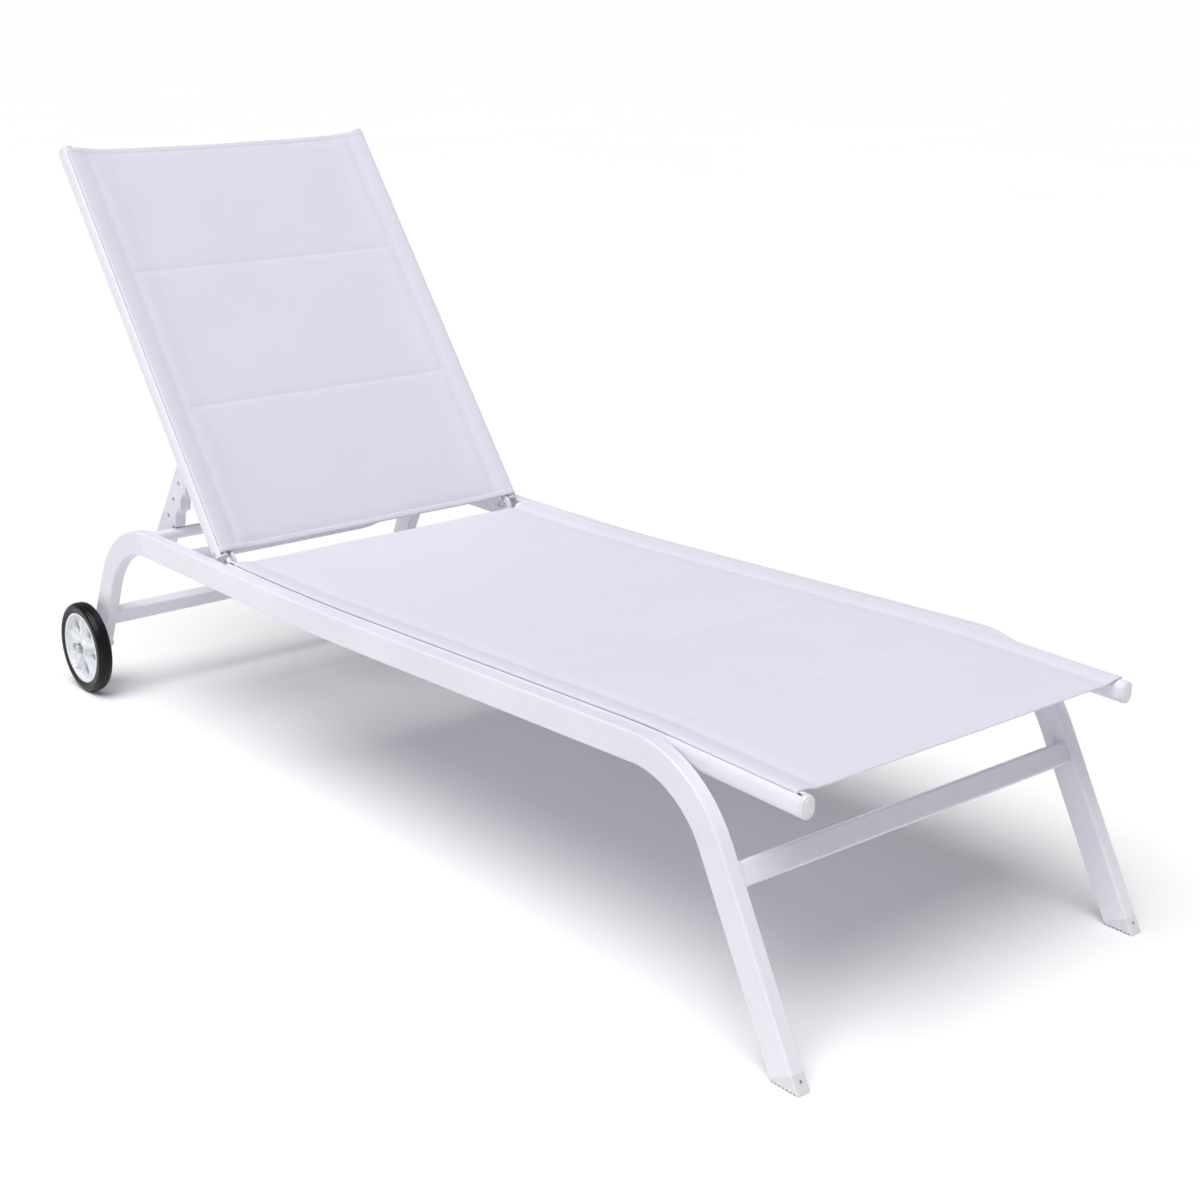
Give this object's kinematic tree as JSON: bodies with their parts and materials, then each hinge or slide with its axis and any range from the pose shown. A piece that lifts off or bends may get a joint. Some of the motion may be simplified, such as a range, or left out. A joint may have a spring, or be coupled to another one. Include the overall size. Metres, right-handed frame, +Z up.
{
  "type": "reclining sun lounger",
  "caption": "Long low lounger: bent flat-tube side frames, sling seat, sling backrest hinged on the frame and propped by a notched stay, wheels at the head end.",
  "frame": {"origin": "middle of the footprint, on the floor", "axes": "+X toward the foot end, +Y to the left of a person lying on it, +Z up"},
  "size_m": [1.7164, 0.68, 0.8849],
  "materials": {
    "white_powder_coat": "satin white powder coat",
    "sling_cloth": "quilted white woven mesh cloth",
    "sling_edge_cord": "cloth hem rolled round a cord",
    "white_plastic": "moulded white plastic, fine grain",
    "foot_plastic": "moulded white plastic with a ribbed sole",
    "wheel_plastic": "moulded white plastic, semi gloss",
    "tyre_rubber": "black rubber, smooth rounded tread",
    "bright_steel": "zinc plated steel"
  },
  "bodies": {
    "frame": {"side_frame_left": "white_powder_coat", "side_frame_right": "white_powder_coat", "front_crossbar": "white_powder_coat", "rear_crossbar": "white_powder_coat", "catch_bar": "white_powder_coat", "seat_spreader": "white_powder_coat", "seat_rail_left": "white_powder_coat", "seat_rail_right": "white_powder_coat", "seat_cap_left": "white_plastic", "seat_cap_right": "white_plastic", "seat_end_plugs": "white_plastic", "seat_splines": "sling_edge_cord", "seat_sling": "sling_cloth", "hinge_plate_left": "white_powder_coat", "hinge_plate_right": "white_powder_coat", "hinge_pin_left": "bright_steel", "hinge_pin_right": "bright_steel", "foot_left": "foot_plastic", "foot_right": "foot_plastic", "leg_plugs": "white_plastic", "axle_left": "bright_steel", "axle_right": "bright_steel", "axle_spacers": "bright_steel", "hub_nut_left": "bright_steel", "hub_nut_right": "bright_steel", "rail_screws": "bright_steel", "foot_screws": "bright_steel"},
    "backrest": {"back_rail_left": "white_powder_coat", "back_rail_right": "white_powder_coat", "back_cap_left": "white_plastic", "back_cap_right": "white_plastic", "back_spreader": "white_powder_coat", "back_splines": "sling_edge_cord", "back_sling": "sling_cloth", "stay_lug_left": "white_powder_coat", "stay_lug_right": "white_powder_coat", "stay_pin_left": "bright_steel", "stay_pin_right": "bright_steel"},
    "stay": {"notched_strut_left": "white_powder_coat", "notched_strut_right": "white_powder_coat", "stay_bar": "white_powder_coat"},
    "wheel_left": {"wheel_disc_left": "wheel_plastic", "tyre_left": "tyre_rubber"},
    "wheel_right": {"wheel_disc_right": "wheel_plastic", "tyre_right": "tyre_rubber"}
  },
  "joints": [
    {"name": "backrest_hinge", "type": "hinge", "parent": "frame", "child": "backrest", "pos_m": [-0.40521, 0, 0.31], "axis": [0, 1, 0], "range_deg": [-50.8, 0]},
    {"name": "stay_pivot", "type": "hinge", "parent": "backrest", "child": "stay", "pos_m": [-0.55746, 0, 0.47686], "axis": [0, 1, 0], "range_deg": [0, 101.6]},
    {"name": "wheel_left_spin", "type": "hinge", "parent": "frame", "child": "wheel_left", "pos_m": [-0.78321, 0.323, 0.075], "axis": [0, 1, 0], "continuous": true},
    {"name": "wheel_right_spin", "type": "hinge", "parent": "frame", "child": "wheel_right", "pos_m": [-0.78321, -0.323, 0.075], "axis": [0, 1, 0], "continuous": true}
  ],
  "couplings": [
    {"joint": "stay_pivot", "follows": "backrest_hinge", "ratio": -2}
  ]
}
